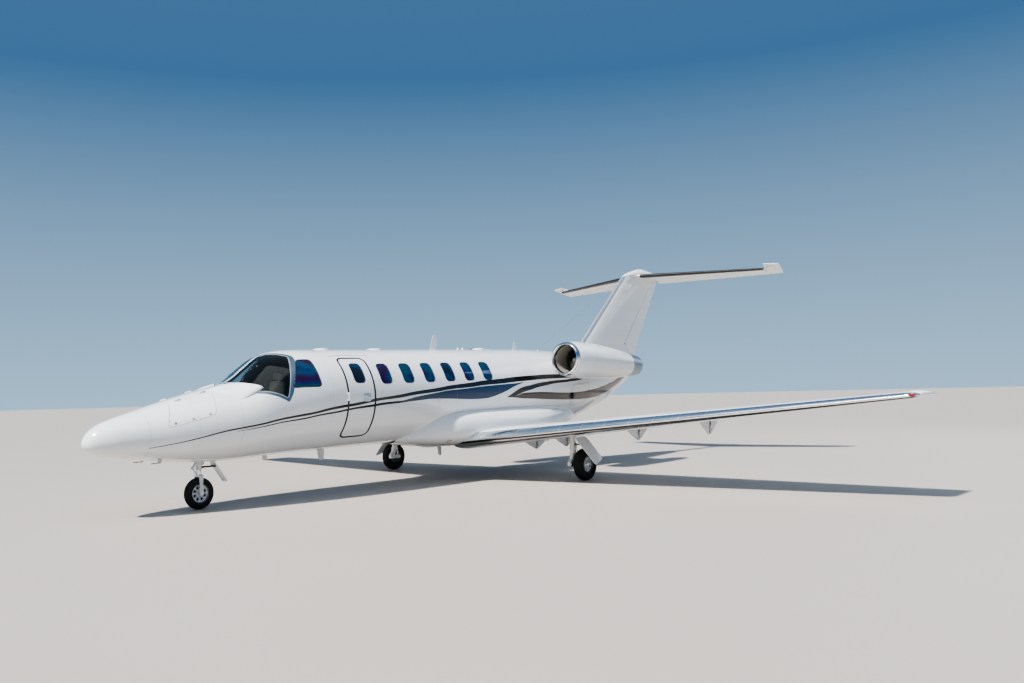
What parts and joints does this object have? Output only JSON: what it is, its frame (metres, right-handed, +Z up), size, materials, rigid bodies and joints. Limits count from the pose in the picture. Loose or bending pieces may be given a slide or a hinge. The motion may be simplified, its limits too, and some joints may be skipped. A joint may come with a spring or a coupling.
{
  "type": "business jet",
  "caption": "Twin-engined light business jet with a straight low wing and a T-tail, parked on its landing gear with the doors closed.",
  "frame": {"origin": "on the ground, under the middle of the aircraft's length and span", "axes": "+X to the left wing tip, +Y aft, +Z up; the nose points to -Y"},
  "size_m": [16.26, 15.6003, 4.6],
  "materials": {
    "paint": "gloss white paint over metal skin, frames and lining",
    "light_skin": "gloss white paint over thin aluminium skin",
    "composite": "gloss white paint over composite",
    "glazing": "stretched acrylic with a dark tint",
    "engine_metal": "bare heat-stained metal",
    "fan_metal": "satin titanium blades and a pale spinner",
    "carpet": "carpet over metal floor panels",
    "panel": "matte dark glareshield over instrument boxes",
    "leather": "leather",
    "gear_white": "satin white paint over steel and aluminium forgings",
    "tyre": "matte rubber"
  },
  "bodies": {
    "airframe": {"nose_radome": "composite", "nose_shell": "paint", "cockpit_shell": "paint", "windshield_left": "glazing", "windshield_right": "glazing", "cockpit_window_left": "glazing", "cockpit_window_right": "glazing", "cabin_shell": "paint", "cabin_windows_left": "glazing", "cabin_windows_right": "glazing", "aft_body": "paint", "belly_fairing": "composite", "wing_left": "paint", "wing_right": "paint", "fin": "light_skin", "antenna_wire": "fan_metal", "tailplane": "light_skin", "nacelle_left": "light_skin", "nacelle_right": "light_skin", "pylon_left": "light_skin", "pylon_right": "light_skin", "engine_core_left": "engine_metal", "engine_core_right": "engine_metal", "cabin_floor": "carpet", "instrument_panel": "panel", "crew_seat_left": "leather", "crew_seat_right": "leather", "cabin_seats_left": "leather", "cabin_seats_right": "leather", "nose_gear_leg": "gear_white", "nose_gear_door": "light_skin", "main_gear_leg_left": "gear_white", "main_gear_leg_right": "gear_white", "main_gear_door_left": "light_skin", "main_gear_door_right": "light_skin"},
    "entry_door": {"cabin_door": "paint", "door_window": "glazing"},
    "nose_baggage_door_left": {"nose_door_left": "paint"},
    "nose_baggage_door_right": {"nose_door_right": "paint"},
    "aft_door": {"aft_baggage_door": "paint"},
    "aileron_l": {"aileron_left": "light_skin"},
    "aileron_r": {"aileron_right": "light_skin"},
    "flap_l": {"flap_left": "light_skin"},
    "flap_r": {"flap_right": "light_skin"},
    "elevator_l": {"elevator_left": "light_skin"},
    "elevator_r": {"elevator_right": "light_skin"},
    "rudder_body": {"rudder": "light_skin"},
    "fan_l": {"fan_left": "fan_metal"},
    "fan_r": {"fan_right": "fan_metal"},
    "nose_fork": {"nose_gear_fork": "gear_white"},
    "nose_wheel_body": {"nose_wheel": "tyre"},
    "main_wheel_l": {"main_wheel_left": "tyre"},
    "main_wheel_r": {"main_wheel_right": "tyre"}
  },
  "joints": [
    {"name": "cabin_door_hinge", "type": "hinge", "parent": "airframe", "child": "entry_door", "pos_m": [0.83382, -3.893, 1.55], "axis": [0, 0, -1], "range_deg": [0, 150]},
    {"name": "nose_door_left_hinge", "type": "hinge", "parent": "airframe", "child": "nose_baggage_door_left", "pos_m": [0.20153, -6.54, 1.58954], "axis": [0.0081, -0.966, -0.2584], "range_deg": [0, 80]},
    {"name": "nose_door_right_hinge", "type": "hinge", "parent": "airframe", "child": "nose_baggage_door_right", "pos_m": [-0.20153, -6.54, 1.58954], "axis": [0.0081, 0.966, 0.2584], "range_deg": [0, 80]},
    {"name": "aft_door_hinge", "type": "hinge", "parent": "airframe", "child": "aft_door", "pos_m": [0.81024, 2.235, 1.5], "axis": [0, 0, -1], "range_deg": [0, 150]},
    {"name": "aileron_left_hinge", "type": "hinge", "parent": "airframe", "child": "aileron_l", "pos_m": [4.96, 0.39495, 1.14218], "axis": [0.9949, -0.0437, 0.0908], "range_deg": [-19, 19]},
    {"name": "aileron_right_hinge", "type": "hinge", "parent": "airframe", "child": "aileron_r", "pos_m": [-4.96, 0.39495, 1.14218], "axis": [0.9949, 0.0437, -0.0908], "range_deg": [-19, 19]},
    {"name": "flap_left_hinge", "type": "hinge", "parent": "airframe", "child": "flap_l", "pos_m": [1.15, 0.47398, 0.52684], "axis": [-0.9952, 0.0365, -0.0907], "range_deg": [0, 35]},
    {"name": "flap_right_hinge", "type": "hinge", "parent": "airframe", "child": "flap_r", "pos_m": [-1.15, 0.47398, 0.52684], "axis": [-0.9952, -0.0365, 0.0907], "range_deg": [0, 35]},
    {"name": "elevator_left_hinge", "type": "hinge", "parent": "airframe", "child": "elevator_l", "pos_m": [0.15, 6.92497, 4.39688], "axis": [0.9762, 0.2159, -0.0203], "range_deg": [0, 35]},
    {"name": "elevator_right_hinge", "type": "hinge", "parent": "airframe", "child": "elevator_r", "pos_m": [-0.15, 6.92497, 4.39688], "axis": [0.9762, -0.2159, 0.0203], "range_deg": [0, 35]},
    {"name": "rudder_hinge", "type": "hinge", "parent": "airframe", "child": "rudder_body", "pos_m": [0, 5.535, 2.693], "axis": [0, 0.6621, 0.7494], "range_deg": [-25, 25]},
    {"name": "fan_left_spin", "type": "hinge", "parent": "airframe", "child": "fan_l", "pos_m": [1.266, 1.77952, 2.20559], "axis": [0, 0.999, -0.0446], "continuous": true},
    {"name": "fan_right_spin", "type": "hinge", "parent": "airframe", "child": "fan_r", "pos_m": [-1.266, 1.77952, 2.20559], "axis": [0, 0.999, -0.0446], "continuous": true},
    {"name": "nose_steering", "type": "hinge", "parent": "airframe", "child": "nose_fork", "pos_m": [0, -6.073, 0.56], "axis": [0, 0, 1], "range_deg": [-20, 20]},
    {"name": "nose_wheel_spin", "type": "hinge", "parent": "nose_fork", "child": "nose_wheel_body", "pos_m": [0, -6.073, 0.2285], "axis": [1, 0, 0], "continuous": true},
    {"name": "main_wheel_left_spin", "type": "hinge", "parent": "airframe", "child": "main_wheel_l", "pos_m": [2.47, 0.158, 0.28], "axis": [1, 0, 0], "continuous": true},
    {"name": "main_wheel_right_spin", "type": "hinge", "parent": "airframe", "child": "main_wheel_r", "pos_m": [-2.47, 0.158, 0.28], "axis": [1, 0, 0], "continuous": true}
  ],
  "couplings": [
    {"joint": "aileron_right_hinge", "follows": "aileron_left_hinge", "ratio": -1},
    {"joint": "flap_right_hinge", "follows": "flap_left_hinge", "ratio": 1},
    {"joint": "elevator_right_hinge", "follows": "elevator_left_hinge", "ratio": 1}
  ]
}
